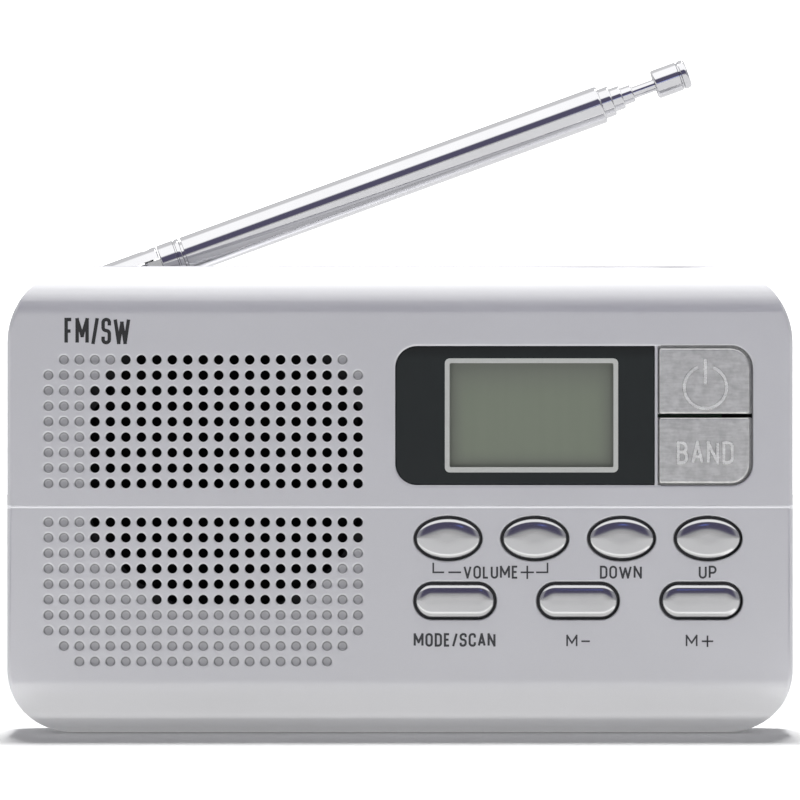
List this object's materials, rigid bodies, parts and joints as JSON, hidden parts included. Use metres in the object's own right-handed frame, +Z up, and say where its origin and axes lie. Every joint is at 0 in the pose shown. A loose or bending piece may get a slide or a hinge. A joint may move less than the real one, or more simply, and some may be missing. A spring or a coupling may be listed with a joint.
{
  "type": "shortwave receiver",
  "caption": "Pocket shortwave radio with a silver case, dotted grille, small display, chrome keys and a folding telescopic aerial.",
  "frame": {"origin": "middle of the case's flat underside, at the bottom centre of the bounding box", "axes": "+X to the right seen from the front, +Y to the back of the case (the front faces -Y), +Z up"},
  "size_m": [0.13, 0.029, 0.1126],
  "materials": {
    "silver_paint": "satin silver paint on moulded plastic",
    "chrome": "bright plated",
    "cast_metal": "fine blasted metal look",
    "display_panel": "clear window printed black behind",
    "lcd": "grey-green liquid crystal glass",
    "white_plastic": "moulded",
    "board": "green solder mask",
    "black_plastic": "moulded",
    "steel": "plated",
    "paper": "pressed paper cone",
    "ferrite": "dull",
    "copper": "enamelled copper wire",
    "cell_wrap": "printed film"
  },
  "bodies": {
    "case": {"front_shell": "silver_paint", "back_shell": "silver_paint", "display_window": "display_panel", "battery_upper": "cell_wrap", "battery_lower": "cell_wrap", "lcd_glass": "lcd", "lcd_holder": "white_plastic", "main_board": "board", "receiver_chip": "black_plastic", "audio_chip": "black_plastic", "crystal_can": "steel", "power_switch": "black_plastic", "band_switch": "black_plastic", "volume_down_switch": "black_plastic", "volume_up_switch": "black_plastic", "tune_down_switch": "black_plastic", "tune_up_switch": "black_plastic", "mode_switch": "black_plastic", "memory_down_switch": "black_plastic", "memory_up_switch": "black_plastic", "speaker_basket": "steel", "speaker_cone": "paper", "speaker_magnet": "ferrite", "ferrite_rod": "ferrite", "ferrite_coil": "copper", "battery_spring_upper": "steel", "battery_spring_lower": "steel", "battery_contact_upper": "steel", "battery_contact_lower": "steel", "earphone_socket": "black_plastic", "power_socket": "black_plastic", "case_screw_1": "steel", "case_screw_2": "steel", "case_screw_3": "steel", "case_screw_4": "steel", "antenna_pivot_screw": "chrome", "antenna_spring_washer": "steel"},
    "battery_door": {"battery_door": "silver_paint"},
    "power_button": {"power_button": "cast_metal"},
    "band_button": {"band_button": "cast_metal"},
    "volume_down_button": {"volume_down_button": "chrome"},
    "volume_up_button": {"volume_up_button": "chrome"},
    "tune_down_button": {"tune_down_button": "chrome"},
    "tune_up_button": {"tune_up_button": "chrome"},
    "mode_button": {"mode_button": "chrome"},
    "memory_down_button": {"memory_down_button": "chrome"},
    "memory_up_button": {"memory_up_button": "chrome"},
    "antenna_knuckle": {"antenna_knuckle": "chrome", "antenna_elbow_pin": "steel"},
    "antenna_elbow": {"antenna_elbow": "chrome", "antenna_tube_1": "chrome"},
    "antenna_stage_2": {"antenna_tube_2": "chrome"},
    "antenna_stage_3": {"antenna_tube_3": "chrome"},
    "antenna_stage_4": {"antenna_tube_4": "chrome"},
    "antenna_tip": {"antenna_rod": "chrome", "antenna_cap": "chrome"}
  },
  "joints": [
    {"name": "power_press", "type": "slide", "parent": "case", "child": "power_button", "axis": [0, 1, 0], "range_m": [0, 0.0005], "stiffness_N_per_m": 3000},
    {"name": "band_press", "type": "slide", "parent": "case", "child": "band_button", "axis": [0, 1, 0], "range_m": [0, 0.0005], "stiffness_N_per_m": 3000},
    {"name": "volume_down_press", "type": "slide", "parent": "case", "child": "volume_down_button", "axis": [0, 1, 0], "range_m": [0, 0.0005], "stiffness_N_per_m": 3000},
    {"name": "volume_up_press", "type": "slide", "parent": "case", "child": "volume_up_button", "axis": [0, 1, 0], "range_m": [0, 0.0005], "stiffness_N_per_m": 3000},
    {"name": "tune_down_press", "type": "slide", "parent": "case", "child": "tune_down_button", "axis": [0, 1, 0], "range_m": [0, 0.0005], "stiffness_N_per_m": 3000},
    {"name": "tune_up_press", "type": "slide", "parent": "case", "child": "tune_up_button", "axis": [0, 1, 0], "range_m": [0, 0.0005], "stiffness_N_per_m": 3000},
    {"name": "mode_press", "type": "slide", "parent": "case", "child": "mode_button", "axis": [0, 1, 0], "range_m": [0, 0.0005], "stiffness_N_per_m": 3000},
    {"name": "memory_down_press", "type": "slide", "parent": "case", "child": "memory_down_button", "axis": [0, 1, 0], "range_m": [0, 0.0005], "stiffness_N_per_m": 3000},
    {"name": "memory_up_press", "type": "slide", "parent": "case", "child": "memory_up_button", "axis": [0, 1, 0], "range_m": [0, 0.0005], "stiffness_N_per_m": 3000},
    {"name": "battery_door_hinge", "type": "hinge", "parent": "case", "child": "battery_door", "pos_m": [0.0245, 0.0133, 0.0092], "axis": [-1, 0, 0], "range_deg": [0, 95]},
    {"name": "antenna_swivel", "type": "hinge", "parent": "case", "child": "antenna_knuckle", "pos_m": [-0.0513, 0.01, 0.0741], "axis": [0, -1, 0], "range_deg": [-20, 160]},
    {"name": "antenna_tilt", "type": "hinge", "parent": "antenna_knuckle", "child": "antenna_elbow", "pos_m": [-0.0419, 0.01, 0.07752], "axis": [-0.342, 0, 0.9397], "range_deg": [0, 90]},
    {"name": "antenna_stage_2_slide", "type": "slide", "parent": "antenna_elbow", "child": "antenna_stage_2", "axis": [0.9397, 0, 0.342], "range_m": [0, 0.06]},
    {"name": "antenna_stage_3_slide", "type": "slide", "parent": "antenna_stage_2", "child": "antenna_stage_3", "axis": [0.9397, 0, 0.342], "range_m": [0, 0.06]},
    {"name": "antenna_stage_4_slide", "type": "slide", "parent": "antenna_stage_3", "child": "antenna_stage_4", "axis": [0.9397, 0, 0.342], "range_m": [0, 0.06]},
    {"name": "antenna_tip_slide", "type": "slide", "parent": "antenna_stage_4", "child": "antenna_tip", "axis": [0.9397, 0, 0.342], "range_m": [0, 0.06]}
  ]
}
